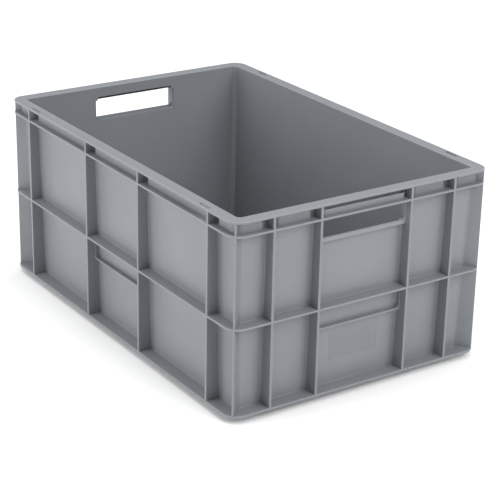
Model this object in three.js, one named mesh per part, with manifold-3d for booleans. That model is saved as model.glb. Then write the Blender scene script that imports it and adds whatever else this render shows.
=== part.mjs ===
// Rigid stacking crate, 600 x 400 x 270 mm, moulded in grey polypropylene.
//
// The crate is one moulding. It is modelled region by region, each region a closed solid of its own,
// with a narrow gap between neighbours: floor, base rails, walls, corners, ribs, flanges and rim.
//
// Units are millimetres. +X runs along the long sides, +Y along the short sides and +Z upwards. The
// origin is the middle of the footprint, on the surface that the crate stands on.
//
// Each side is built in a side frame of its own and turned into place. There, s runs along the side
// from its middle, d is the depth inwards from the outermost plane of the side, and z is up.

import * as THREE from 'three';
import { mergeVertices } from 'three/addons/utils/BufferGeometryUtils.js';
import Module from 'manifold-3d';

const wasm = await Module();
wasm.setup();

// ---- Driving dimensions ------------------------------------------------------------------------

const LENGTH = 600;
const WIDTH = 400;
const HEIGHT = 270;
const GAP = 0.3;

// Walls lean inwards towards the floor, so that the crate leaves its mould.
const WALL = 2.5;
const WALL_DEPTH_TOP = 15;
const WALL_DEPTH_BOTTOM = 20;
const CORNER_LEG = 24;
const INNER_CORNER_RADIUS = 5;
const OUTER_CORNER_RADIUS = INNER_CORNER_RADIUS + WALL;

// The flanges run round the outside; the rim is the highest of them.
const FLANGE_CORNER_RADIUS = 19;
const RIM_UNDERSIDE = 267;
const RIM_DEPTH = WALL_DEPTH_TOP + WALL;
const UPPER_FLANGE_BOTTOM = 249;
const UPPER_FLANGE_TOP = 252;
const MID_FLANGE_BOTTOM = 127.5;
const MID_FLANGE_TOP = 130.5;
const MID_FLANGE_LAP = 9.5;

// The base flange carries a foot that drops inside the rim of the crate below.
const BASE_FLANGE_BOTTOM = 8;
const BASE_FLANGE_TOP = 12;
const FOOT_DEPTH = 18.5;
const FOOT_CORNER_RADIUS = 6;
const BASE_INNER_DEPTH = WALL_DEPTH_BOTTOM + WALL;

// Upright ribs and corner fins stand out from the walls as far as the flanges do.
const RIB = 4;
const FIN = 3.5;
const LONG_SIDE_RIBS = [-240, -70.5, 70.5, 240];
const SHORT_SIDE_RIBS = [-141, -70.5, 70.5, 141];
const MIDDLE_BAY_HALF = 70.5 - RIB / 2;

// Hand holes in the short sides, and the small shelves between the two middle ribs.
const HOLE_BOTTOM = 222;
const LIP_BOTTOM = 216.5;
const LIP_FRONT = 8;
const UPSTAND_FRONT = 7;
const UPSTAND = 2;
const UPSTAND_TOP = 260;
const LEDGE_BOTTOM = 95;
const LEDGE_TOP = 97.5;
const LEDGE_FRONT = 11.5;

// Strips under the rim, in front of the wall. They stop short of each rib and of each corner.
const STRIP_FRONT = 9.5;
const STRIP_RIB_STOP = RIB / 2 + 7;
const STRIP_CORNER_STOP = 24;

// Lid hinge slots through the rim of the long sides.
const SLOT_START = 214;
const SLOT_END = 238;
const SLOT_DEPTH = 4;
const SLOT_WIDTH = 3.5;

const FLOOR_BOTTOM = 5.5;
const FLOOR_TOP = 8.5;
const UNDER_RIB = 2.5;
const UNDER_RIB_BOTTOM = 1.5;
const UNDER_RIB_STATIONS = [-200, -100, 0, 100, 200];

const ARC_STEPS = 6;

// ---- Material ----------------------------------------------------------------------------------

const greyPlastic = new THREE.MeshStandardMaterial({ color: 0x8f959b, roughness: 0.5, metalness: 0 });

// ---- Solids ------------------------------------------------------------------------------------

function toSolid(geometry) {
  const bare = geometry.clone();
  bare.deleteAttribute('normal');
  bare.deleteAttribute('uv');
  const merged = mergeVertices(bare);
  const mesh = new wasm.Mesh({
    numProp: 3,
    vertProperties: new Float32Array(merged.attributes.position.array),
    triVerts: new Uint32Array(merged.index.array),
  });
  return new wasm.Manifold(mesh);
}

function toGeometry(solid) {
  const mesh = solid.getMesh();
  const geometry = new THREE.BufferGeometry();
  geometry.setAttribute('position', new THREE.BufferAttribute(mesh.vertProperties, 3));
  geometry.setIndex(new THREE.BufferAttribute(mesh.triVerts, 1));
  geometry.computeVertexNormals();
  return geometry;
}

function join(geometries) {
  return toGeometry(geometries.map(toSolid).reduce((whole, solid) => whole.add(solid)));
}

function cut(geometry, tools) {
  return toGeometry(tools.map(toSolid).reduce((whole, tool) => whole.subtract(tool), toSolid(geometry)));
}

// Extrudes a plan outline, given as [x, y] pairs, from height low to height high.
function upright(outline, low, high) {
  const shape = new THREE.Shape(outline.map(([x, y]) => new THREE.Vector2(x, y)));
  const geometry = new THREE.ExtrudeGeometry(shape, { depth: high - low, bevelEnabled: false });
  return geometry.translate(0, 0, low);
}

// Extrudes a section, given as [d, z] pairs, along a side from station start to station end.
function along(side, section, start, end) {
  const shape = new THREE.Shape(section.map(([d, z]) => new THREE.Vector2(d, z)));
  const geometry = new THREE.ExtrudeGeometry(shape, { depth: end - start, bevelEnabled: false });
  const turn = new THREE.Matrix4().makeBasis(
    new THREE.Vector3(0, 1, 0),
    new THREE.Vector3(0, 0, 1),
    new THREE.Vector3(1, 0, 0),
  );
  return geometry.applyMatrix4(turn).translate(start, -side.reach, 0);
}

function block(side, [s0, s1], [d0, d1], [z0, z1]) {
  return along(side, [[d0, z0], [d1, z0], [d1, z1], [d0, z1]], s0, s1);
}

// ---- Outlines ----------------------------------------------------------------------------------

// How far the wall's outer face has leaned in at height z, past its depth at the top.
function lean(z) {
  const share = (UPPER_FLANGE_BOTTOM - z) / (UPPER_FLANGE_BOTTOM - BASE_FLANGE_TOP);
  return (WALL_DEPTH_BOTTOM - WALL_DEPTH_TOP) * Math.min(Math.max(share, 0), 1);
}

function wallDepth(z) {
  return WALL_DEPTH_TOP + lean(z);
}

// Leans an upright solid inwards on both axes, by the draft of the walls.
function drafted(geometry) {
  const place = geometry.attributes.position;
  for (let i = 0; i < place.count; i += 1) {
    const inwards = lean(place.getZ(i));
    place.setX(i, place.getX(i) - Math.sign(place.getX(i)) * inwards);
    place.setY(i, place.getY(i) - Math.sign(place.getY(i)) * inwards);
  }
  geometry.computeVertexNormals();
  return geometry;
}

// Points round the +s corner of a side, from the side towards the corner's diagonal. They stop
// where the diagonal is less than clearance away.
function cornerArc(side, depth, radius, clearance) {
  const stop = Math.acos(clearance / radius) - Math.PI / 4;
  if (stop <= 0) {
    return [[side.half - depth - clearance * Math.SQRT2, -side.reach + depth]];
  }
  const points = [];
  for (let i = 0; i <= ARC_STEPS; i += 1) {
    const angle = (stop * i) / ARC_STEPS;
    points.push([
      side.half - depth - radius + radius * Math.sin(angle),
      -side.reach + depth + radius - radius * Math.cos(angle),
    ]);
  }
  return points;
}

const mirrored = (points) => points.map(([x, y]) => [-x, y]);

// Plan outline of one side of a ring, mitred at both corners. Inner notches leave room for ribs.
function ringSide(side, outer, inner, clearance, notchDepth = null) {
  const outerEnd = cornerArc(side, outer.depth, outer.radius, clearance);
  const innerEnd = cornerArc(side, inner.depth, inner.radius, clearance);
  const notches = [];
  if (notchDepth !== null) {
    for (const rib of side.ribs.toReversed()) {
      const reach = RIB / 2 + GAP;
      const [shallow, deep] = [-side.reach + notchDepth, -side.reach + inner.depth];
      notches.push([rib + reach, deep], [rib + reach, shallow], [rib - reach, shallow], [rib - reach, deep]);
    }
  }
  return [
    ...mirrored(outerEnd).reverse(),
    ...outerEnd,
    ...innerEnd.toReversed(),
    ...notches,
    ...mirrored(innerEnd),
  ];
}

function roundedRectangle(halfX, halfY, radius) {
  const points = [];
  const centres = [[1, -1, -90], [1, 1, 0], [-1, 1, 90], [-1, -1, 180]];
  for (const [signX, signY, from] of centres) {
    for (let i = 0; i <= ARC_STEPS; i += 1) {
      const angle = THREE.MathUtils.degToRad(from + (90 * i) / ARC_STEPS);
      points.push([
        signX * (halfX - radius) + radius * Math.cos(angle),
        signY * (halfY - radius) + radius * Math.sin(angle),
      ]);
    }
  }
  return points;
}

// ---- Regions of one side -----------------------------------------------------------------------

const MITRE = GAP / 2;
const FIN_CLEARANCE = FIN / 2 + GAP;

// Base flange with the foot under it.
function baseRail(side) {
  const inner = { depth: BASE_INNER_DEPTH, radius: INNER_CORNER_RADIUS };
  const flange = { depth: 0, radius: FLANGE_CORNER_RADIUS };
  const foot = { depth: FOOT_DEPTH, radius: FOOT_CORNER_RADIUS };
  return join([
    upright(ringSide(side, flange, inner, MITRE), BASE_FLANGE_BOTTOM, BASE_FLANGE_TOP),
    upright(ringSide(side, foot, inner, MITRE), 0, BASE_FLANGE_TOP),
  ]);
}

// Middle flange, lapped over the ribs where it crosses them.
function midFlange(side) {
  const outer = { depth: 0, radius: FLANGE_CORNER_RADIUS };
  const inner = { depth: wallDepth(MID_FLANGE_TOP) - GAP, radius: OUTER_CORNER_RADIUS };
  const outline = ringSide(side, outer, inner, FIN_CLEARANCE, MID_FLANGE_LAP - GAP / 2);
  return upright(outline, MID_FLANGE_BOTTOM, MID_FLANGE_TOP);
}

// Rim, the wall band under it and the upper flange: one channel with the rib tops inside it.
function rimRail(side) {
  const outer = { depth: 0, radius: FLANGE_CORNER_RADIUS };
  const bandOuter = { depth: WALL_DEPTH_TOP, radius: OUTER_CORNER_RADIUS };
  const bandInner = { depth: RIM_DEPTH, radius: INNER_CORNER_RADIUS };
  const inside = [UPPER_FLANGE_TOP - 1, RIM_UNDERSIDE + 1];
  const parts = [
    upright(ringSide(side, outer, bandInner, MITRE), RIM_UNDERSIDE, HEIGHT),
    upright(ringSide(side, bandOuter, bandInner, MITRE), UPPER_FLANGE_BOTTOM, RIM_UNDERSIDE + 1),
    upright(
      ringSide(side, outer, { depth: WALL_DEPTH_TOP + 1, radius: INNER_CORNER_RADIUS }, FIN_CLEARANCE),
      UPPER_FLANGE_BOTTOM,
      UPPER_FLANGE_TOP,
    ),
  ];
  for (const rib of side.ribs) {
    parts.push(block(side, [rib - RIB / 2, rib + RIB / 2], [0, WALL_DEPTH_TOP + 1], inside));
  }
  const end = side.half - STRIP_CORNER_STOP;
  const stops = side.ribs.flatMap((rib) => [rib - STRIP_RIB_STOP, rib + STRIP_RIB_STOP]);
  const marks = [-end, ...stops, end];
  for (let i = 0; i < marks.length; i += 2) {
    const run = [marks[i], marks[i + 1]];
    const overHandHole = side.handHole && run[0] < 0 && run[1] > 0;
    if (!overHandHole) {
      parts.push(block(side, run, [STRIP_FRONT, STRIP_FRONT + UPSTAND], inside));
    }
  }
  if (side.handHole) {
    const reach = MIDDLE_BAY_HALF + 1;
    const upstand = [UPSTAND_FRONT, UPSTAND_FRONT + UPSTAND];
    parts.push(block(side, [-reach, reach], upstand, [UPPER_FLANGE_TOP - 1, UPSTAND_TOP]));
    return join(parts);
  }
  const slots = [[SLOT_START, SLOT_END], [-SLOT_END, -SLOT_START]].map((run) =>
    block(side, run, [SLOT_DEPTH, SLOT_DEPTH + SLOT_WIDTH], [RIM_UNDERSIDE - 1, HEIGHT + 1]),
  );
  return cut(join(parts), slots);
}

// Upright rib, cut back where the middle flange crosses it.
function rib(side, station) {
  const [low, high] = [BASE_FLANGE_TOP + GAP, UPPER_FLANGE_BOTTOM - GAP];
  const lap = MID_FLANGE_LAP + GAP / 2;
  const profile = [
    [0, low],
    [wallDepth(low) - GAP, low],
    [wallDepth(high) - GAP, high],
    [0, high],
    [0, MID_FLANGE_TOP + GAP],
    [lap, MID_FLANGE_TOP + GAP],
    [lap, MID_FLANGE_BOTTOM - GAP],
    [0, MID_FLANGE_BOTTOM - GAP],
  ];
  return along(side, profile, station - RIB / 2, station + RIB / 2);
}

function wallPanel(side, start, end, low, high) {
  const [outerY, innerY] = [-side.reach + WALL_DEPTH_TOP, -side.reach + WALL_DEPTH_TOP + WALL];
  return drafted(upright([[start, outerY], [end, outerY], [end, innerY], [start, innerY]], low, high));
}

// Rounded corner of the wall, at the +s end of the side.
function cornerWall(side) {
  const outer = [];
  const inner = [];
  const centreS = side.half - WALL_DEPTH_TOP - OUTER_CORNER_RADIUS;
  const centreY = -side.reach + WALL_DEPTH_TOP + OUTER_CORNER_RADIUS;
  for (let i = 0; i <= ARC_STEPS; i += 1) {
    const angle = THREE.MathUtils.degToRad(-90 + (90 * i) / ARC_STEPS);
    outer.push([
      centreS + OUTER_CORNER_RADIUS * Math.cos(angle),
      centreY + OUTER_CORNER_RADIUS * Math.sin(angle),
    ]);
    inner.unshift([
      centreS + INNER_CORNER_RADIUS * Math.cos(angle),
      centreY + INNER_CORNER_RADIUS * Math.sin(angle),
    ]);
  }
  const outline = [
    [side.half - CORNER_LEG, -side.reach + WALL_DEPTH_TOP],
    ...outer,
    [side.half - WALL_DEPTH_TOP, -side.reach + CORNER_LEG],
    [side.half - RIM_DEPTH, -side.reach + CORNER_LEG],
    ...inner,
    [side.half - CORNER_LEG, -side.reach + RIM_DEPTH],
  ];
  return drafted(upright(outline, BASE_FLANGE_TOP + GAP, UPPER_FLANGE_BOTTOM - GAP));
}

// Fin on the diagonal of the corner, from the base flange to the underside of the rim. Its section
// is drawn in the side frame and then turned onto the diagonal about the sharp corner of the crate.
function cornerFin(side) {
  const edge = FLANGE_CORNER_RADIUS * (Math.SQRT2 - 1);
  const root = (z) => wallDepth(z) * Math.SQRT2 + OUTER_CORNER_RADIUS * (Math.SQRT2 - 1) - GAP;
  const [low, high] = [BASE_FLANGE_TOP + GAP, RIM_UNDERSIDE - GAP];
  const section = [
    [edge, low],
    [root(low), low],
    [root(UPPER_FLANGE_BOTTOM), UPPER_FLANGE_BOTTOM],
    [root(high), high],
    [edge, high],
  ];
  return along({ reach: 0 }, section, -FIN / 2, FIN / 2)
    .rotateZ(Math.PI / 4)
    .translate(side.half, -side.reach, 0);
}

// ---- The crate ---------------------------------------------------------------------------------

const SIDES = [
  { name: 'front', corner: 'front_right', reach: WIDTH / 2, half: LENGTH / 2, ribs: LONG_SIDE_RIBS },
  { name: 'right', corner: 'back_right', reach: LENGTH / 2, half: WIDTH / 2, ribs: SHORT_SIDE_RIBS },
  { name: 'back', corner: 'back_left', reach: WIDTH / 2, half: LENGTH / 2, ribs: LONG_SIDE_RIBS },
  { name: 'left', corner: 'front_left', reach: LENGTH / 2, half: WIDTH / 2, ribs: SHORT_SIDE_RIBS },
];

const crate = new THREE.Group();

function add(parent, name, geometry) {
  const mesh = new THREE.Mesh(geometry, greyPlastic);
  mesh.name = name;
  parent.add(mesh);
}

function addWalls(frame, side) {
  const end = side.half - CORNER_LEG - GAP;
  const [low, high] = [BASE_FLANGE_TOP + GAP, UPPER_FLANGE_BOTTOM - GAP];
  if (!side.handHole) {
    add(frame, `wall_${side.name}`, wallPanel(side, -end, end, low, high));
    return;
  }
  add(frame, `wall_${side.name}`, wallPanel(side, -end, end, low, HOLE_BOTTOM));
  const cheek = [HOLE_BOTTOM + GAP, high];
  add(frame, `hand_hole_cheek_${side.name}_a`, wallPanel(side, -end, -MIDDLE_BAY_HALF, ...cheek));
  add(frame, `hand_hole_cheek_${side.name}_b`, wallPanel(side, MIDDLE_BAY_HALF, end, ...cheek));
}

function addShelves(frame, side) {
  const run = [-MIDDLE_BAY_HALF + GAP, MIDDLE_BAY_HALF - GAP];
  const ledge = [LEDGE_FRONT, wallDepth(LEDGE_TOP) - GAP];
  add(frame, `small_ledge_${side.name}`, block(side, run, ledge, [LEDGE_BOTTOM, LEDGE_TOP]));
  if (side.handHole) {
    const lip = [LIP_FRONT, wallDepth(HOLE_BOTTOM) - GAP];
    add(frame, `hand_hole_lip_${side.name}`, block(side, run, lip, [LIP_BOTTOM, HOLE_BOTTOM]));
  }
}

SIDES.forEach((side, index) => {
  side.handHole = side.half < side.reach;
  const frame = new THREE.Group();
  frame.rotation.z = (index * Math.PI) / 2;
  add(frame, `base_rail_${side.name}`, baseRail(side));
  add(frame, `mid_flange_${side.name}`, midFlange(side));
  add(frame, `rim_rail_${side.name}`, rimRail(side));
  side.ribs.forEach((station, i) => add(frame, `rib_${side.name}_${i + 1}`, rib(side, station)));
  addWalls(frame, side);
  addShelves(frame, side);
  add(frame, `corner_wall_${side.corner}`, cornerWall(side));
  add(frame, `corner_fin_${side.corner}`, cornerFin(side));
  crate.add(frame);
});

const floorInset = BASE_INNER_DEPTH + GAP;
const [floorHalfX, floorHalfY] = [LENGTH / 2 - floorInset, WIDTH / 2 - floorInset];
const floorOutline = roundedRectangle(floorHalfX, floorHalfY, INNER_CORNER_RADIUS);
add(crate, 'floor_panel', upright(floorOutline, FLOOR_BOTTOM, FLOOR_TOP));

UNDER_RIB_STATIONS.forEach((station, i) => {
  const [x0, x1] = [station - UNDER_RIB / 2, station + UNDER_RIB / 2];
  const outline = [[x0, -floorHalfY], [x1, -floorHalfY], [x1, floorHalfY], [x0, floorHalfY]];
  add(crate, `underside_rib_${i + 1}`, upright(outline, UNDER_RIB_BOTTOM, FLOOR_BOTTOM - GAP));
});

export default crate;
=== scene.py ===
"""Stacking crate moulded in grey polypropylene, built region by region round the CAD frame.

The crate is one moulding. Each region of it (walls, floor, flanges, rim, ribs, fins, frames) is a
closed solid that runs a little way into its neighbours, so that the whole reads as one piece.

Each side has a side frame of its own: s runs along the side from its middle, d is the depth inwards
from the outermost plane of the side, and z is up. All lengths are in metres unless a name says MM.
"""

import logging
import math
from collections.abc import Callable, Sequence
from dataclasses import dataclass, field
from enum import Enum

import bmesh
import bpy
from mathutils import Matrix, Vector


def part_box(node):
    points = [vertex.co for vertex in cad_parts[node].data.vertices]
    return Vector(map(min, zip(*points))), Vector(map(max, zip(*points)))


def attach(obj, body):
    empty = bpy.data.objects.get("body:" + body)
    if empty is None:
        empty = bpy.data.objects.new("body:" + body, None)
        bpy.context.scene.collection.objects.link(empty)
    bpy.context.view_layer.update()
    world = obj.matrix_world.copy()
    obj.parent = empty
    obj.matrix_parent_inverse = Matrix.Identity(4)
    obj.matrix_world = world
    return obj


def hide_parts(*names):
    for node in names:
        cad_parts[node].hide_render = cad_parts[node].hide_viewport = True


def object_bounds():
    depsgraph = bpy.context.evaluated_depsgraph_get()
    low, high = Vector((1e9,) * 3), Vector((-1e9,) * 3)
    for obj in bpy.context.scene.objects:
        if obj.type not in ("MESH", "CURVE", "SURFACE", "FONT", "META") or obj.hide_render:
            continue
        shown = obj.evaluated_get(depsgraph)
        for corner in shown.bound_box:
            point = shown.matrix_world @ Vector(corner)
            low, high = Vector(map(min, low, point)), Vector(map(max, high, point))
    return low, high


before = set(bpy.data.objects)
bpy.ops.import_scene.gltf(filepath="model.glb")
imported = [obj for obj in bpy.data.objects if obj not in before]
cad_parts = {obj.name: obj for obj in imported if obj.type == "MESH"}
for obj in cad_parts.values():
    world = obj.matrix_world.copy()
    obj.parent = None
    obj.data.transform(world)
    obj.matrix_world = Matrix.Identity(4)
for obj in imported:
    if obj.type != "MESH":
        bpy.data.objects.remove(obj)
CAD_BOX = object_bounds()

MM = 0.001
BODY = "root"
WEAR = "wear"
ARC_STEPS = 4
CORNER_STEPS = 12
QUARTER = math.pi / 2
SHARP_ANGLE = math.radians(50)
# A root ends this far proud of the wall, and a piece runs this far into its neighbour.
PROUD = 0.02 * MM
LAP = 1.0 * MM

logging.basicConfig(level=logging.INFO, format="%(message)s")
log = logging.getLogger("crate")


# ---- Sides and driving sizes -----------------------------------------------------------------


class Side(Enum):
    """The four sides of the crate, in quarter turns from the front."""

    FRONT = 0
    RIGHT = 1
    BACK = 2
    LEFT = 3

    @property
    def label(self) -> str:
        """The side's name in lower case, as the frame's nodes use it."""
        return self.name.lower()

    @property
    def is_short(self) -> bool:
        """Whether this is one of the two short sides, which carry the hand holes."""
        return self in (Side.RIGHT, Side.LEFT)

    @property
    def turn(self) -> Matrix:
        """The rotation that takes the side frame of the front to this side."""
        return Matrix.Rotation(self.value * QUARTER, 4, "Z")


SHORT_SIDES = (Side.RIGHT, Side.LEFT)


@dataclass(frozen=True)
class CrateSizes:
    """Driving sizes that every region shares, in metres."""

    half_length: float
    half_width: float
    height: float
    base_flange_top: float
    middle_flange_low: float
    middle_flange_high: float
    upper_flange_low: float
    wall_depth_high: float
    wall_depth_low: float
    long_outer_rib: float
    long_inner_rib: float
    short_outer_rib: float
    short_inner_rib: float
    rib_width: float
    wall: float = 2.5 * MM
    flange: float = 3.0 * MM
    flange_corner: float = 19.0 * MM
    wall_corner: float = 7.5 * MM
    inner_corner: float = 5.0 * MM

    @classmethod
    def read(cls) -> "CrateSizes":
        """Reads the sizes off the boxes of the frame's nodes.

        Returns:
            The driving sizes of the crate.
        """
        low, high = CAD_BOX
        wall_low, wall_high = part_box("wall_front")
        middle_low, middle_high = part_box("mid_flange_front")
        outer_low, outer_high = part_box("rib_front_4")
        inner_low, inner_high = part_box("rib_front_3")
        short_outer_low, short_outer_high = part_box("rib_right_4")
        short_inner_low, short_inner_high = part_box("rib_right_3")
        return cls(
            half_length=high.x,
            half_width=high.y,
            height=high.z,
            base_flange_top=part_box("base_rail_front")[1].z,
            middle_flange_low=middle_low.z,
            middle_flange_high=middle_high.z,
            upper_flange_low=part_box("rim_rail_front")[0].z,
            wall_depth_high=wall_low.y - low.y,
            wall_depth_low=wall_high.y - low.y - cls.wall,
            long_outer_rib=(outer_low.x + outer_high.x) / 2,
            long_inner_rib=(inner_low.x + inner_high.x) / 2,
            short_outer_rib=(short_outer_low.y + short_outer_high.y) / 2,
            short_inner_rib=(short_inner_low.y + short_inner_high.y) / 2,
            rib_width=outer_high.x - outer_low.x,
        )

    @property
    def rim_low(self) -> float:
        """Height of the underside of the rim."""
        return self.height - self.flange

    @property
    def upright_levels(self) -> list[float]:
        """Heights where an upright changes: inside the base flange, at the wall's ends, in the rim."""
        base, rim = self.base_flange_top, self.rim_low
        return [base - LAP, base, self.upper_flange_low, rim + LAP]

    def rib_stations(self, side: Side) -> tuple[float, float]:
        """Places of the inner and the outer rib of a side, from its middle."""
        if side.is_short:
            return self.short_inner_rib, self.short_outer_rib
        return self.long_inner_rib, self.long_outer_rib

    def reach(self, side: Side) -> float:
        """Distance from the middle of the crate to the outermost plane of a side."""
        return self.half_length if side.is_short else self.half_width

    def wall_depth(self, z: float) -> float:
        """Depth of the wall's outer face at height z: the wall leans in towards the floor."""
        share = (self.upper_flange_low - z) / (self.upper_flange_low - self.base_flange_top)
        share = min(max(share, 0.0), 1.0)
        return self.wall_depth_high + (self.wall_depth_low - self.wall_depth_high) * share

    def corner_radius(self, depth: float, wall_depth: float) -> float:
        """Plan radius of the crate's corner at a depth, between the flange edge and the wall."""
        share = min(max(depth / wall_depth, 0.0), 1.0)
        return self.flange_corner + (self.wall_corner - self.flange_corner) * share


# ---- Outlines --------------------------------------------------------------------------------


@dataclass(frozen=True)
class Corner:
    """One corner of an outline before it is rounded: its place and its radius."""

    x: float
    y: float
    radius: float = 0.0


@dataclass(frozen=True)
class OutlinePoint:
    """One point of a finished outline, and how much wear its edge has taken, from 0 to 1."""

    x: float
    y: float
    wear: float = 0.0


def rounded(outline: Sequence[Corner]) -> list[OutlinePoint]:
    """Rounds the corners of an outline that runs anticlockwise.

    Args:
        outline: the sharp corners, in order.

    Returns:
        The points of the rounded outline. Outer roundings carry wear, inner ones don't.
    """
    points: list[OutlinePoint] = []
    count = len(outline)
    for i, corner in enumerate(outline):
        here = Vector((corner.x, corner.y))
        if corner.radius <= 0:
            points.append(OutlinePoint(here.x, here.y))
            continue
        before, after = outline[i - 1], outline[(i + 1) % count]
        back = (Vector((before.x, before.y)) - here).normalized()
        onward = (Vector((after.x, after.y)) - here).normalized()
        half = back.angle(onward) / 2
        centre = here + (back + onward).normalized() * corner.radius / math.sin(half)
        first = here + back * corner.radius / math.tan(half) - centre
        last = here + onward * corner.radius / math.tan(half) - centre
        sweep = first.angle_signed(last)
        outer = -back.cross(onward) > 0
        for k in range(ARC_STEPS + 1):
            spoke = Matrix.Rotation(-sweep * k / ARC_STEPS, 2) @ first
            wear = math.sin(math.pi * k / ARC_STEPS) if outer else 0.0
            points.append(OutlinePoint(centre.x + spoke.x, centre.y + spoke.y, wear))
    return points


def rounded_box(half: float, low: float, high: float, radius: float) -> list[Vector]:
    """Points of an upright rounded rectangle in the s-z plane, anticlockwise from lower right."""
    places = [(1, low, -90), (1, high, 0), (-1, high, 90), (-1, low, 180)]
    points = []
    for sign, level, start in places:
        inwards = radius if level == low else -radius
        for k in range(ARC_STEPS + 1):
            angle = math.radians(start + 90 * k / ARC_STEPS)
            s = sign * (half - radius) + radius * math.cos(angle)
            points.append(Vector((s, level + inwards + radius * math.sin(angle))))
    return points


def rounded_edge(size: float) -> list[tuple[float, float]]:
    """Steps of a rounded edge, each as how far it has drawn in and how far it is below the crest."""
    turns = [QUARTER * k / ARC_STEPS for k in range(1, ARC_STEPS + 1)]
    return [(size * (1 - math.cos(turn)), size * (1 - math.sin(turn))) for turn in turns]


# ---- Meshes ----------------------------------------------------------------------------------


@dataclass
class Loft:
    """A closed solid made of rings of points, each ring joined to the next by quads."""

    rings: list[list[Vector]]
    wear: list[list[float]] | None = None

    def mesh(self, name: str) -> bpy.types.Mesh:
        """Makes the mesh.

        Args:
            name: the name of the new mesh.

        Returns:
            A closed mesh whose faces point outwards.
        """
        build = bmesh.new()
        layer = build.verts.layers.float.new(WEAR)
        made = []
        for i, ring in enumerate(self.rings):
            row = [build.verts.new(point) for point in ring]
            for k, vertex in enumerate(row):
                vertex[layer] = self.wear[i][k] if self.wear else 0.0
            made.append(row)
        build.faces.new(reversed(made[0]))
        build.faces.new(made[-1])
        for lower, upper in zip(made, made[1:]):
            count = len(lower)
            for k in range(count):
                following = (k + 1) % count
                build.faces.new((lower[k], lower[following], upper[following], upper[k]))
        turn_outwards(build)
        mesh = bpy.data.meshes.new(name)
        build.to_mesh(mesh)
        build.free()
        return mesh


def turn_outwards(build: bmesh.types.BMesh) -> None:
    """Turns every face of closed solids round if they point inwards."""
    build.normal_update()
    if build.calc_volume(signed=True) < 0:
        bmesh.ops.reverse_faces(build, faces=build.faces)


def new_object(name: str, mesh: bpy.types.Mesh) -> bpy.types.Object:
    """Links a new object that shows a mesh."""
    made = bpy.data.objects.new(name, mesh)
    bpy.context.scene.collection.objects.link(made)
    return made


def settled(source: bpy.types.Object, name: str) -> bpy.types.Object:
    """Replaces an object by a plain one that holds its evaluated mesh.

    Args:
        source: the object with live modifiers. It is removed.
        name: the name of the plain object.

    Returns:
        The plain object, with no modifiers.
    """
    bpy.context.view_layer.update()
    graph = bpy.context.evaluated_depsgraph_get()
    mesh = bpy.data.meshes.new_from_object(source.evaluated_get(graph))
    bpy.data.objects.remove(source)
    mesh.name = name
    return new_object(name, mesh)


def cut(piece: bpy.types.Object, tool: bpy.types.Object) -> bpy.types.Object:
    """Cuts a tool's solid out of a piece, and removes the tool."""
    name = piece.name
    modifier = piece.modifiers.new("cut", "BOOLEAN")
    modifier.operation = "DIFFERENCE"
    modifier.solver = "EXACT"
    modifier.object = tool
    piece.name = name + "_uncut"
    made = settled(piece, name)
    bpy.data.objects.remove(tool)
    return made


def joined(name: str, meshes: Sequence[bpy.types.Mesh]) -> bpy.types.Mesh:
    """Puts several meshes in one."""
    build = bmesh.new()
    build.verts.layers.float.new(WEAR)
    for mesh in meshes:
        build.from_mesh(mesh)
    made = bpy.data.meshes.new(name)
    build.to_mesh(made)
    build.free()
    return made


# ---- Geometry Nodes --------------------------------------------------------------------------

Feed = bpy.types.NodeSocket | float | int | str | tuple


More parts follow.
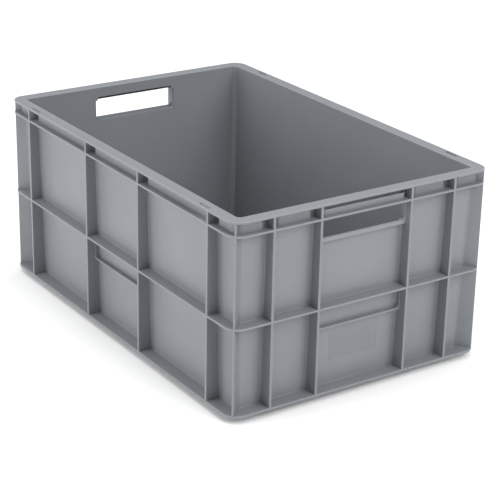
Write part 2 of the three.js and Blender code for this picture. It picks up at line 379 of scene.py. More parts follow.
class NodeTree:
    """Builds one Geometry Nodes tree with named inputs."""

    def __init__(self, name: str) -> None:
        """Starts the tree with its geometry input, its material input and its output."""
        self.tree = bpy.data.node_groups.new(name, "GeometryNodeTree")
        sockets = self.tree.interface
        sockets.new_socket("Geometry", in_out="INPUT", socket_type="NodeSocketGeometry")
        sockets.new_socket("Geometry", in_out="OUTPUT", socket_type="NodeSocketGeometry")
        sockets.new_socket("Material", in_out="INPUT", socket_type="NodeSocketMaterial")
        self.entry = self.tree.nodes.new("NodeGroupInput")
        self.exit = self.tree.nodes.new("NodeGroupOutput")

    def size(self, name: str, kind: str = "Float") -> bpy.types.NodeSocket:
        """Adds a named input and returns its socket inside the tree."""
        self.tree.interface.new_socket(name, in_out="INPUT", socket_type="NodeSocket" + kind)
        return self.entry.outputs[name]

    def feed(self, socket: bpy.types.NodeSocket, value: Feed) -> None:
        """Links a socket to another, or sets its value."""
        if isinstance(value, bpy.types.NodeSocket):
            self.tree.links.new(value, socket)
        else:
            socket.default_value = value

    def node(self, kind: str, settings: dict | None = None, **inputs: Feed) -> bpy.types.Node:
        """Adds a node.

        Args:
            kind: the node's type name.
            settings: the node's own options, by name.
            inputs: what its inputs take, by socket name with _ for a space.

        Returns:
            The new node.
        """
        made = self.tree.nodes.new(kind)
        for option, value in (settings or {}).items():
            setattr(made, option, value)
        for name, value in inputs.items():
            self.feed(made.inputs[name.replace("_", " ")], value)
        return made

    def math(self, operation: str, *values: Feed) -> bpy.types.NodeSocket:
        """Adds a Math node and returns its result."""
        made = self.node("ShaderNodeMath", {"operation": operation})
        for socket, value in zip(made.inputs, values):
            self.feed(socket, value)
        return made.outputs[0]

    def vector(self, x: Feed = 0.0, y: Feed = 0.0, z: Feed = 0.0) -> bpy.types.NodeSocket:
        """Joins three numbers to a vector."""
        return self.node("ShaderNodeCombineXYZ", X=x, Y=y, Z=z).outputs[0]

    def parts(self, vector: bpy.types.NodeSocket) -> list[bpy.types.NodeSocket]:
        """Splits a vector into its three numbers."""
        return list(self.node("ShaderNodeSeparateXYZ", Vector=vector).outputs)

    def attribute(self, name: str, kind: str = "FLOAT") -> bpy.types.NodeSocket:
        """Reads a named attribute."""
        made = self.node("GeometryNodeInputNamedAttribute", {"data_type": kind}, Name=name)
        return next(socket for socket in made.outputs if socket.enabled)

    def copies(
        self, points: bpy.types.NodeSocket, at: bpy.types.NodeSocket | None = None
    ) -> bpy.types.Node:
        """Sets the tree's own geometry on points, moved to new places if those are given."""
        if at is not None:
            points = self.node("GeometryNodeSetPosition", Geometry=points, Position=at).outputs[0]
        item = self.entry.outputs["Geometry"]
        return self.node("GeometryNodeInstanceOnPoints", Points=points, Instance=item)

    def close(self, geometry: bpy.types.NodeSocket) -> bpy.types.NodeTree:
        """Ends the tree: instances are made real and the material is set."""
        real = self.node("GeometryNodeRealizeInstances", Geometry=geometry).outputs[0]
        material = self.entry.outputs["Material"]
        dressed = self.node("GeometryNodeSetMaterial", Geometry=real, Material=material)
        self.tree.links.new(dressed.outputs[0], self.exit.inputs[0])
        return self.tree


def ring_tree() -> bpy.types.NodeTree:
    """The tree that sweeps a section round the crate.

    The section's points carry their depth, height and corner radius, so each of them runs round a
    rounded rectangle of its own.

    Returns:
        The tree.
    """
    desk = NodeTree("sweep_section_round_crate")
    half_length, half_width = desk.size("Half length"), desk.size("Half width")
    steps = desk.size("Corner steps", "Int")
    per_corner = desk.math("ADD", steps, 1)
    count = desk.math("MULTIPLY", per_corner, 4)
    path = desk.node("GeometryNodeCurvePrimitiveCircle", Resolution=count).outputs[0]
    index = desk.node("GeometryNodeInputIndex").outputs[0]
    corner = desk.math("FLOOR", desk.math("DIVIDE", index, per_corner))
    along = desk.math("SUBTRACT", index, desk.math("MULTIPLY", corner, per_corner))
    angle = desk.math("MULTIPLY", desk.math("ADD", corner, desk.math("DIVIDE", along, steps)), QUARTER)
    diagonal = desk.math("MULTIPLY", desk.math("ADD", corner, 0.5), QUARTER)
    spoke = desk.vector(desk.math("COSINE", angle), desk.math("SINE", angle))
    root_two = math.sqrt(2)
    quadrant = desk.vector(
        desk.math("MULTIPLY", desk.math("COSINE", diagonal), root_two),
        desk.math("MULTIPLY", desk.math("SINE", diagonal), root_two),
    )
    vector_on_point = {"data_type": "FLOAT_VECTOR", "domain": "POINT"}
    for name, value in (("spoke", spoke), ("quadrant", quadrant)):
        store = desk.node("GeometryNodeStoreNamedAttribute", vector_on_point, Geometry=path, Name=name)
        desk.feed(next(s for s in store.inputs if s.name == "Value" and s.enabled), value)
        path = store.outputs[0]
    section = desk.node("GeometryNodeMeshToCurve", Mesh=desk.entry.outputs["Geometry"]).outputs[0]
    sweep = desk.node("GeometryNodeCurveToMesh", Curve=path, Profile_Curve=section).outputs[0]
    depth, radius = desk.attribute("depth"), desk.attribute("corner_radius")
    spokes = desk.parts(desk.attribute("spoke", "FLOAT_VECTOR"))
    quadrants = desk.parts(desk.attribute("quadrant", "FLOAT_VECTOR"))
    inset = desk.math("ADD", depth, radius)
    place = []
    for half, side, arm in zip((half_length, half_width), quadrants, spokes):
        middle = desk.math("MULTIPLY", side, desk.math("SUBTRACT", half, inset))
        place.append(desk.math("ADD", middle, desk.math("MULTIPLY", arm, radius)))
    at = desk.vector(place[0], place[1], desk.attribute("height"))
    shaped = desk.node("GeometryNodeSetPosition", Geometry=sweep, Position=at).outputs[0]
    return desk.close(shaped)


def rib_tree() -> bpy.types.NodeTree:
    """The tree that sets one rib at four stations, two on each side of the middle."""
    desk = NodeTree("ribs_along_side")
    outer, inner = desk.size("Outer station"), desk.size("Inner station")
    four = desk.node("GeometryNodeMeshLine", Count=4, Offset=(0.0, 0.0, 0.0)).outputs[0]
    index = desk.node("GeometryNodeInputIndex").outputs[0]
    centred = desk.math("SUBTRACT", index, 1.5)
    is_outer = desk.math("GREATER_THAN", desk.math("ABSOLUTE", centred), 1.0)
    further = desk.math("MULTIPLY", is_outer, desk.math("SUBTRACT", outer, inner))
    station = desk.math("MULTIPLY", desk.math("SIGN", centred), desk.math("ADD", inner, further))
    return desk.close(desk.copies(four, desk.vector(station)).outputs[0])


def row_tree() -> bpy.types.NodeTree:
    """The tree that repeats one item in an even row along X, centred on the middle."""
    desk = NodeTree("even_row")
    count, spacing = desk.size("Count", "Int"), desk.size("Spacing")
    gaps = desk.math("SUBTRACT", count, 1)
    start = desk.math("MULTIPLY", desk.math("MULTIPLY", gaps, spacing), -0.5)
    line = desk.node(
        "GeometryNodeMeshLine",
        Count=count,
        Start_Location=desk.vector(start),
        Offset=desk.vector(spacing),
    ).outputs[0]
    return desk.close(desk.copies(line).outputs[0])


def corner_tree() -> bpy.types.NodeTree:
    """The tree that sets one item, made for the back right corner, at all four corners."""
    desk = NodeTree("items_at_corners")
    half_length, half_width = desk.size("Half length"), desk.size("Half width")
    four = desk.node("GeometryNodeMeshLine", Count=4, Offset=(0.0, 0.0, 0.0)).outputs[0]
    index = desk.node("GeometryNodeInputIndex").outputs[0]
    turn = desk.math("MULTIPLY", index, QUARTER)
    diagonal = desk.math("ADD", turn, math.pi / 4)
    x = desk.math("MULTIPLY", desk.math("SIGN", desk.math("COSINE", diagonal)), half_length)
    y = desk.math("MULTIPLY", desk.math("SIGN", desk.math("SINE", diagonal)), half_width)
    items = desk.copies(four, desk.vector(x, y))
    desk.feed(items.inputs["Rotation"], desk.vector(z=turn))
    return desk.close(items.outputs[0])


def grown(
    name: str, seed: bpy.types.Mesh, tree: bpy.types.NodeTree, sizes: dict[str, object]
) -> bpy.types.Object:
    """Runs a tree on a seed mesh and keeps the result as a plain mesh.

    Args:
        name: the name of the new object.
        seed: the mesh that the tree starts from.
        tree: the Geometry Nodes tree.
        sizes: what the tree's named inputs take.

    Returns:
        The object, with no modifier left on it.
    """
    source = new_object(name + "_seed", seed)
    modifier = source.modifiers.new("grow", "NODES")
    modifier.node_group = tree
    inputs = [item for item in tree.interface.items_tree if item.in_out == "INPUT"]
    sockets = {item.name: item.identifier for item in inputs}
    for label, value in sizes.items():
        modifier[sockets[label]] = value
    made = settled(source, name)
    build = bmesh.new()
    build.from_mesh(made.data)
    turn_outwards(build)
    build.to_mesh(made.data)
    build.free()
    for spare in ("spoke", "quadrant", "depth", "height", "corner_radius"):
        if spare in made.data.attributes:
            made.data.attributes.remove(made.data.attributes[spare])
    return made


# ---- Finishes --------------------------------------------------------------------------------


@dataclass(frozen=True)
class MouldedPolypropylene:
    """Satin grey polypropylene with the fine grain of an eroded mould."""

    name: str
    colour: tuple[float, float, float] = (0.200, 0.2115, 0.226)
    roughness: float = 0.44
    refraction: float = 1.49
    grain_size: float = 0.7 * MM
    grain_depth: float = 0.012 * MM
    grain_strength: float = 0.6
    sink_size: float = 60.0 * MM
    sink_depth: float = 0.25 * MM
    sink_strength: float = 0.35
    cloud_size: float = 90.0 * MM
    mottle: float = 0.035
    speck_size: float = 1.6 * MM
    speck_share: float = 0.10
    speck_lift: float = 1.18
    wear_size: float = 14.0 * MM
    wear_lift: float = 0.035
    gloss_size: float = 5.0 * MM
    gloss_spread: tuple[float, float] = (-0.04, 0.05)
    rubbed_least: float = 0.25
    noise_middle: tuple[float, float] = (0.3, 0.7)

    def build(self) -> bpy.types.Material:
        """Makes the material.

        Returns:
            A material on Object coordinates, with colour, gloss and relief from its nodes.
        """
        made = bpy.data.materials.new(self.name)
        made.use_nodes = True
        nodes, links = made.node_tree.nodes, made.node_tree.links
        shader = nodes["Principled BSDF"]
        shader.inputs["IOR"].default_value = self.refraction
        place = nodes.new("ShaderNodeTexCoord").outputs["Object"]

        def noise(size: float, detail: float) -> bpy.types.NodeSocket:
            """A noise whose features are about one size across, in metres."""
            texture = nodes.new("ShaderNodeTexNoise")
            texture.inputs["Scale"].default_value = 1 / size
            texture.inputs["Detail"].default_value = detail
            links.new(place, texture.inputs["Vector"])
            return texture.outputs["Fac"]

        def ranged(value: bpy.types.NodeSocket, low: float, high: float) -> bpy.types.NodeSocket:
            """Stretches the middle of a noise over a range."""
            spread = nodes.new("ShaderNodeMapRange")
            spread.inputs["From Min"].default_value = self.noise_middle[0]
            spread.inputs["From Max"].default_value = self.noise_middle[1]
            spread.inputs["To Min"].default_value = low
            spread.inputs["To Max"].default_value = high
            links.new(value, spread.inputs["Value"])
            return spread.outputs["Result"]

        def bump(size: float, detail: float, strength: float, depth: float) -> bpy.types.Node:
            """A relief whose hills are about one size across."""
            made_bump = nodes.new("ShaderNodeBump")
            made_bump.inputs["Strength"].default_value = strength
            made_bump.inputs["Distance"].default_value = depth
            links.new(noise(size, detail), made_bump.inputs["Height"])
            return made_bump

        cloud = ranged(noise(self.cloud_size, 3.0), 0.0, 1.0)
        pale = tuple(c * (1 + self.mottle) for c in self.colour)
        deep = tuple(c * (1 - self.mottle) for c in self.colour)
        shade = self.mix(made, cloud, deep, pale)
        speck = ranged(noise(self.speck_size, 2.0), 0.0, self.speck_share)
        shade = self.mix(made, speck, shade, tuple(c * self.speck_lift for c in self.colour))
        edge = nodes.new("ShaderNodeAttribute")
        edge.attribute_name = WEAR
        rubbed = nodes.new("ShaderNodeMath")
        rubbed.operation = "MULTIPLY"
        links.new(edge.outputs["Fac"], rubbed.inputs[0])
        links.new(ranged(noise(self.wear_size, 4.0), self.rubbed_least, 1.0), rubbed.inputs[1])
        worn = tuple(min(c + self.wear_lift, 1.0) for c in self.colour)
        shade = self.mix(made, rubbed.outputs[0], shade, worn)
        links.new(shade, shader.inputs["Base Color"])
        smoothest, roughest = (self.roughness + step for step in self.gloss_spread)
        gloss = ranged(noise(self.gloss_size, 3.0), smoothest, roughest)
        links.new(gloss, shader.inputs["Roughness"])
        relief = bump(self.grain_size, 2.0, self.grain_strength, self.grain_depth)
        sink = bump(self.sink_size, 1.0, self.sink_strength, self.sink_depth)
        links.new(sink.outputs["Normal"], relief.inputs["Normal"])
        links.new(relief.outputs["Normal"], shader.inputs["Normal"])
        return made

    @staticmethod
    def mix(
        material: bpy.types.Material,
        share: bpy.types.NodeSocket,
        first: bpy.types.NodeSocket | tuple,
        second: bpy.types.NodeSocket | tuple,
    ) -> bpy.types.NodeSocket:
        """Mixes two colours by a share from the surface.

        Args:
            material: the material that the node goes in.
            share: how much of the second colour shows.
            first: a socket or a colour.
            second: a socket or a colour.

        Returns:
            The mixed colour.
        """
        made = material.node_tree.nodes.new("ShaderNodeMix")
        made.data_type = "RGBA"
        material.node_tree.links.new(share, made.inputs["Factor"])
        ends = [socket for socket in made.inputs if socket.type == "RGBA"]
        for socket, value in zip(ends, (first, second)):
            if isinstance(value, bpy.types.NodeSocket):
                material.node_tree.links.new(value, socket)
            else:
                socket.default_value = (*value, 1.0)
        return next(socket for socket in made.outputs if socket.type == "RGBA")


@dataclass(frozen=True)
class PaleFloor:
    """Matt pale floor of the studio, with a faint unevenness."""

    name: str = "pale_studio_floor"
    colour: tuple[float, float, float] = (0.94, 0.94, 0.94)
    roughness: float = 0.9
    specular: float = 0.1
    cloud_scale: float = 3.0
    cloud_lift: float = 1.01

    def build(self) -> bpy.types.Material:
        """Makes the material."""
        made = bpy.data.materials.new(self.name)
        made.use_nodes = True
        nodes, links = made.node_tree.nodes, made.node_tree.links
        shader = nodes["Principled BSDF"]
        shader.inputs["Roughness"].default_value = self.roughness
        shader.inputs["Specular IOR Level"].default_value = self.specular
        texture = nodes.new("ShaderNodeTexNoise")
        texture.inputs["Scale"].default_value = self.cloud_scale
        links.new(nodes.new("ShaderNodeTexCoord").outputs["Object"], texture.inputs["Vector"])
        tint = tuple(c * self.cloud_lift for c in self.colour)
        colour = MouldedPolypropylene.mix(made, texture.outputs["Fac"], self.colour, tint)
        links.new(colour, shader.inputs["Base Color"])
        return made


# ---- Regions ---------------------------------------------------------------------------------


@dataclass
class Workshop:
    """What every region is made with: the sizes, the trees and the finishes."""

    sizes: CrateSizes
    ring: bpy.types.NodeTree
    ribs: bpy.types.NodeTree
    row: bpy.types.NodeTree
    corner: bpy.types.NodeTree
    plastic: bpy.types.Material

    def sweep(
        self, name: str, section: Sequence[OutlinePoint], radius: Callable[[float, float], float]
    ) -> bpy.types.Object:
        """Sweeps a section round the crate.

        Args:
            name: the name of the new object.
            section: the points, with the depth as x and the height as y.
            radius: gives the plan radius of the corner at a depth and a height.

        Returns:
            The ring as an object.
        """
        seed = bpy.data.meshes.new(name + "_section")
        count = len(section)
        edges = [(i, (i + 1) % count) for i in range(count)]
        seed.from_pydata([(p.x, p.y, 0.0) for p in section], edges, [])
        columns = {
            "depth": [p.x for p in section],
            "height": [p.y for p in section],
            "corner_radius": [radius(p.x, p.y) for p in section],
            WEAR: [p.wear for p in section],
        }
        for label, values in columns.items():
            seed.attributes.new(label, "FLOAT", "POINT").data.foreach_set("value", values)
        sizes = {
            "Half length": self.sizes.half_length,
            "Half width": self.sizes.half_width,
            "Corner steps": CORNER_STEPS,
            "Material": self.plastic,
        }
        return grown(name, seed, self.ring, sizes)

    def in_side(self, mesh: bpy.types.Mesh, side: Side) -> bpy.types.Mesh:
        """Moves a mesh from a side frame (s, d, z) to its place on the crate."""
        mesh.transform(side.turn @ Matrix.Translation((0.0, -self.sizes.reach(side), 0.0)))
        return mesh

    def finish(self, piece: bpy.types.Object, *nodes: str) -> bpy.types.Object:
        """Dresses a piece, smooths its roundings and ties it to the frame.

        Args:
            piece: the piece, in place.
            nodes: the frame's nodes that it stands for.

        Returns:
            The finished piece.
        """
        mesh = piece.data
        mesh.materials.clear()
        mesh.materials.append(self.plastic)
        mesh.shade_smooth()
        mesh.set_sharp_from_angle(angle=SHARP_ANGLE)
        weighted = piece.modifiers.new("weighted", "WEIGHTED_NORMAL")
        weighted.keep_sharp = True
        name = piece.name
        piece.name = name + "_raw"
        piece = settled(piece, name)
        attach(piece, BODY)
        if nodes:
            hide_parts(*nodes)
        log.info("%s: %d vertices, %d faces", name, len(piece.data.vertices), len(piece.data.polygons))
        return piece


def for_sides(pattern: str, sides: Sequence[Side] = tuple(Side)) -> list[str]:
    """Names of the frame's nodes that follow a pattern, one for each side."""
    return [pattern.format(side.label) for side in sides]


def at_corners(pattern: str) -> list[str]:
    """Names of the frame's nodes that follow a pattern, one for each corner."""
    places = ("front_right", "back_right", "back_left", "front_left")
    return [pattern.format(place) for place in places]


@dataclass(frozen=True)
class GripOpening:
    """The room for a hand: the hole through the wall, and the gap above it behind the upstand."""

    shop: Workshop
    hole_half: float = 67.9 * MM
    hole_low: float = 217.4 * MM
    hole_high: float = 249.9 * MM
    gap_half: float = 63.8 * MM
    gap_low: float = 247.0 * MM
    gap_high: float = 254.5 * MM
    gap_front: float = 9.0 * MM
    past_wall: float = 30.0 * MM
    corner: float = 1.5 * MM

    def tool(self, side: Side, half: float, low: float, high: float, front: float) -> bpy.types.Object:
        """A rounded block that runs inwards from a depth and out through the wall.

        Args:
            side: the side that it cuts.
            half: half its run along the side.
            low: height of its lower face.
            high: height of its upper face.
            front: depth at which it starts.

        Returns:
            The block as an object.
        """
        outline = rounded_box(half, low, high, self.corner)
        rings = [[Vector((p.x, depth, p.y)) for p in outline] for depth in (front, self.past_wall)]
        mesh = self.shop.in_side(Loft(rings).mesh("grip_tool"), side)
        return new_object("grip_tool", mesh)

    def hand_hole(self, side: Side) -> bpy.types.Object:
        """The tool of the hole through the wall."""
        return self.tool(side, self.hole_half, self.hole_low, self.hole_high, self.gap_front)

    def gap_behind_upstand(self, side: Side) -> bpy.types.Object:
        """The tool of the gap behind the upstand, through the upper flange and the wall."""
        return self.tool(side, self.gap_half, self.gap_low, self.gap_high, self.gap_front)


@dataclass
class WallShell:
    """The four walls and their rounded corners, leaning in towards the floor, with two hand holes."""

    shop: Workshop
    foot_low: float = 6.5 * MM
    head_room: float = 1.7 * MM
    behind_fillets: float = 0.08 * MM

    def section(self) -> list[OutlinePoint]:
        """Section of the wall, from inside the floor up to inside the rim."""
        sizes = self.shop.sizes
        low, bend, high = sizes.base_flange_top, sizes.upper_flange_low, sizes.height - self.head_room
        outer_low, outer_high = sizes.wall_depth_low, sizes.wall_depth_high
        thick = sizes.wall - self.behind_fillets
        places = [
            (outer_low, self.foot_low),
            (outer_low + thick, self.foot_low),
            (outer_low + thick, low),
            (outer_high + thick, bend),
            (outer_high + thick, high),
            (outer_high, high),
            (outer_high, bend),
            (outer_low, low),
        ]
        return [OutlinePoint(depth, height) for depth, height in places]

    def radius(self, depth: float, height: float) -> float:
        """The corner is rounder outside the wall than inside it."""
        sizes = self.shop.sizes
        outside = depth < sizes.wall_depth(height) + sizes.wall / 2
        return sizes.wall_corner if outside else sizes.inner_corner

    def build(self) -> bpy.types.Object:
        """Makes the walls.

        Returns:
            The finished piece.
        """
        walls = self.shop.sweep("wall_shell", self.section(), self.radius)
        opening = GripOpening(self.shop)
        for side in SHORT_SIDES:
            walls = cut(walls, opening.hand_hole(side))
            walls = cut(walls, opening.gap_behind_upstand(side))
        nodes = for_sides("wall_{}")
        for end in ("a", "b"):
            nodes += for_sides("hand_hole_cheek_{}_" + end, SHORT_SIDES)
        nodes += at_corners("corner_wall_{}")
        return self.shop.finish(walls, *nodes)


@dataclass
class FlangeRing:
    """A ring that runs round the crate: its section, its name and the nodes that it stands for."""

    shop: Workshop
    name: str
    outline: list[Corner]
    nodes: list[str]
    wall_depth: float

    def radius(self, depth: float, height: float) -> float:
        """Plan radius of the corner, from the flange's edge in to the wall."""
        sizes = self.shop.sizes
        if depth > self.wall_depth + sizes.wall / 2:
            return sizes.inner_corner
        return sizes.corner_radius(depth, self.wall_depth)

    def ring(self) -> bpy.types.Object:
        """The bare ring."""
        return self.shop.sweep(self.name, rounded(self.outline), self.radius)

    def build(self) -> bpy.types.Object:
        """Makes the ring."""
        return self.shop.finish(self.ring(), *self.nodes)


@dataclass
class Flanges:
    """Base flange with the foot, middle flange and upper flange."""

    shop: Workshop
    foot_depth: float = 18.5 * MM
    flange_low: float = 8.0 * MM
    edge: float = 0.8 * MM
    root: float = 1.2 * MM
    under_root: float = 1.2 * MM
    bury: float = 1.4 * MM
    lap: float = 6.5 * MM
    upper_lap: float = 3.2 * MM
    inner_face: float = 0.1 * MM
    floor_joint: tuple[float, float] = (6.5 * MM, 7.5 * MM)

    def base(self) -> FlangeRing:
        """Base flange, with the foot that drops inside the rim of the crate below."""
        sizes = self.shop.sizes
        top, inner = sizes.base_flange_top, sizes.wall_depth_low + sizes.wall + self.inner_face
        wall, hidden = sizes.wall_depth(top), sizes.wall_depth_low + self.bury
        head = top + self.lap
        outline = [
            Corner(0.0, self.flange_low, self.edge),
            Corner(self.foot_depth, self.flange_low, self.under_root),
            Corner(self.foot_depth, 0.0, self.edge),
            Corner(inner, 0.0, self.edge),
            Corner(inner, self.floor_joint[0]),
            Corner(hidden, self.floor_joint[1]),
            Corner(hidden, head),
            Corner(sizes.wall_depth(head) - PROUD, head),
            Corner(wall - PROUD, top, self.root),
            Corner(0.0, top, self.edge),
        ]
        return FlangeRing(self.shop, "base_flange_and_foot", outline, for_sides("base_rail_{}"), wall)

    def middle(self) -> FlangeRing:
        """Middle flange."""
        sizes = self.shop.sizes
        low, high = sizes.middle_flange_low, sizes.middle_flange_high
        wall, head, tail = sizes.wall_depth(high), high + self.lap, low - 2 * self.under_root
        outline = [
            Corner(0.0, low, self.edge),
            Corner(sizes.wall_depth(low), low, self.under_root),
            Corner(sizes.wall_depth(tail) - PROUD, tail),
            Corner(wall + self.bury, tail),
            Corner(wall + self.bury, head),
            Corner(sizes.wall_depth(head) - PROUD, head),
            Corner(wall - PROUD, high, self.root),
            Corner(0.0, high, self.edge),
        ]
        return FlangeRing(self.shop, "middle_flange", outline, for_sides("mid_flange_{}"), wall)

    def upper(self) -> FlangeRing:
        """Upper flange, under the rim."""
        sizes = self.shop.sizes
        low, wall = sizes.upper_flange_low, sizes.wall_depth_high
        high = low + sizes.flange
        head = high + self.upper_lap
        outline = [
            Corner(0.0, low, self.edge),
            Corner(wall + self.bury, low),
            Corner(wall + self.bury, head),
            Corner(wall - PROUD, head),
            Corner(wall - PROUD, high, self.under_root),
            Corner(0.0, high, self.edge),
        ]
        return FlangeRing(self.shop, "upper_flange", outline, for_sides("rim_rail_{}"), wall)

    def build(self) -> None:
        """Makes the three rings."""
        self.base().build()
        self.middle().build()
        upper, opening = self.upper(), GripOpening(self.shop)
        ring = upper.ring()
        for side in SHORT_SIDES:
            ring = cut(ring, opening.gap_behind_upstand(side))
        self.shop.finish(ring, *upper.nodes)


@dataclass
class Rim:
    """The rim: a flat top with a shallow channel in it, and four slots for a hinged lid."""

    shop: Workshop
    outer_edge: float = 0.9 * MM
    inner_edge: float = 1.4 * MM
    under_root: float = 1.2 * MM
    groove: float = 0.3 * MM
    groove_outer: float = 3.0 * MM
    groove_inner: float = 13.2 * MM
    groove_slope: float = 0.4 * MM
    groove_ease: float = 0.5 * MM
    skirt: float = 2.4 * MM
    skirt_bury: float = 1.3 * MM
    slot_start: float = 214.0 * MM
    slot_end: float = 238.0 * MM
    slot_depth: float = 3.3 * MM
    slot_width: float = 4.2 * MM
    slot_corner: float = 1.2 * MM
    slot_clearance: float = 1.5 * MM
    mouth: float = 0.5 * MM

    def ring(self) -> FlangeRing:
        """The rim before its slots are cut."""
        sizes = self.shop.sizes
        top, low = sizes.height, sizes.rim_low
        wall, inner = sizes.wall_depth_high, sizes.wall_depth_high + sizes.wall
        sunk, hidden, skirt = top - self.groove, wall + self.skirt_bury, low - self.skirt
        slope, ease = self.groove_slope, self.groove_ease
        outline = [
            Corner(0.0, low, self.outer_edge),
            Corner(wall, low, self.under_root),
            Corner(wall - PROUD, skirt),
            Corner(hidden, skirt),
            Corner(hidden, low + slope),
            Corner(inner, low + 2 * slope),
            Corner(inner, top, self.inner_edge),
            Corner(self.groove_inner + slope, top, ease),
            Corner(self.groove_inner - slope, sunk, ease),
            Corner(self.groove_outer + slope, sunk, ease),
            Corner(self.groove_outer - slope, top, ease),
            Corner(0.0, top, self.outer_edge),
        ]
        return FlangeRing(self.shop, "rim", outline, for_sides("rim_rail_{}"), wall)

    def slot_tool(self, sign: int) -> bpy.types.Mesh:
        """Solid of one slot with a flared mouth, in the side frame."""
        sizes = self.shop.sizes
        middle = (self.slot_start + self.slot_end) / 2 * sign
        half_run, half_wide = (self.slot_end - self.slot_start) / 2, self.slot_width / 2
        levels = [
            (sizes.rim_low - self.slot_clearance, 0.0),
            (sizes.height - self.groove - self.mouth, 0.0),
            (sizes.height + self.mouth, 2 * self.mouth),
        ]
        rings = []
        for z, flare in levels:
            wide = half_wide + flare
            outline = rounded_box(half_run + flare, -wide, wide, self.slot_corner)
            centre = self.slot_depth + half_wide
            rings.append([Vector((p.x + middle, p.y + centre, z)) for p in outline])
        return Loft(rings).mesh("slot_tool")

    def build(self) -> bpy.types.Object:
        """Makes the rim with its slots.

        Returns:
            The finished piece.
        """
        ring = self.ring()
        rim = ring.ring()
        meshes = []
        for side in (Side.FRONT, Side.BACK):
            meshes += [self.shop.in_side(self.slot_tool(sign), side) for sign in (1, -1)]
        rim = cut(rim, new_object("slot_tools", joined("slot_tools", meshes)))
        return self.shop.finish(rim, *ring.nodes)


@dataclass
class UprightRibs:
    """The upright ribs of one side: four, rounded along their edges and filleted to the wall."""

    shop: Workshop
    side: Side
    setback: float = 0.12 * MM
    draft: float = 0.25 * MM
    edge: float = 0.7 * MM
    root: float = 1.6 * MM
    toe: float = 0.4 * MM
    toe_proud: float = 0.03 * MM

    def outline(self, wall: float) -> list[OutlinePoint]:
        """Section of the rib where the wall is at a depth, in the s-d plane."""
        half = self.shop.sizes.rib_width / 2
        front, back, foot = half - self.draft / 2, half + self.draft, half + self.root + self.toe
        face = wall + self.toe_proud
        return rounded(
            [
                Corner(-front, self.setback, self.edge),
                Corner(front, self.setback, self.edge),
                Corner(back, face, self.root),
                Corner(foot, face),
                Corner(foot, face + LAP),
                Corner(-foot, face + LAP),
                Corner(-foot, face),
                Corner(-back, face, self.root),
            ]
        )

    def rib(self) -> bpy.types.Mesh:
        """One rib in the side frame, from inside the base flange up to inside the rim."""
        sizes = self.shop.sizes
        levels = sizes.upright_levels
        outlines = [self.outline(sizes.wall_depth(z)) for z in levels]
        rings = [[Vector((p.x, p.y, z)) for p in outline] for z, outline in zip(levels, outlines)]
        return Loft(rings, [[p.wear for p in outline] for outline in outlines]).mesh("rib")

    def build(self) -> bpy.types.Object:
        """Makes the ribs of the side.

        Returns:
            The finished piece.
        """
        inner, outer = self.shop.sizes.rib_stations(self.side)
        inputs = {"Outer station": outer, "Inner station": inner, "Material": self.shop.plastic}
        ribs = grown(f"upright_ribs_{self.side.label}", self.rib(), self.shop.ribs, inputs)
        self.shop.in_side(ribs.data, self.side)
        return self.shop.finish(ribs, *(f"rib_{self.side.label}_{i}" for i in range(1, 5)))


@dataclass
class CornerFins:
    """A fin on the diagonal of each corner, from the base flange to the rim."""

    shop: Workshop
    width: float = 2.4 * MM
    edge: float = 0.9 * MM
    setback: float = 0.15 * MM
    flare: float = 0.5 * MM
    flare_depth: float = 0.35 * MM
    root: float = 6.0 * MM
    foot: float = 4.4 * MM
    foot_depth: float = 4.1 * MM

    def outline(self, z: float) -> list[OutlinePoint]:
        """Section of the fin at a height: x is across it, y is the way in from the sharp corner."""
        sizes = self.shop.sizes
        spread = math.sqrt(2) - 1
        front = sizes.flange_corner * spread + self.setback
        wall = sizes.wall_depth(z) * math.sqrt(2) + sizes.wall_corner * spread
        half = self.width / 2
        return rounded(
            [
                Corner(-half, front, self.edge),
                Corner(half, front, self.edge),
                Corner(half + self.flare, wall + self.flare_depth, self.root),
                Corner(half + self.foot, wall + self.foot_depth),
                Corner(-half - self.foot, wall + self.foot_depth),
                Corner(-half - self.flare, wall + self.flare_depth, self.root),
            ]
        )

    def build(self) -> bpy.types.Object:
        """Makes the four fins.

        Returns:
            The finished piece.
        """
        sizes = self.shop.sizes
        onto_diagonal = Matrix.Rotation(math.radians(135), 3, "Z")
        rings, wear = [], []
        for z in sizes.upright_levels:
            outline = self.outline(z)
            rings.append([onto_diagonal @ Vector((p.x, p.y, z)) for p in outline])
            wear.append([p.wear for p in outline])
        inputs = {
            "Half length": sizes.half_length,
            "Half width": sizes.half_width,
            "Material": self.shop.plastic,
        }
        fins = grown("corner_fins", Loft(rings, wear).mesh("fin"), self.shop.corner, inputs)
        return self.shop.finish(fins, *at_corners("corner_fin_{}"))


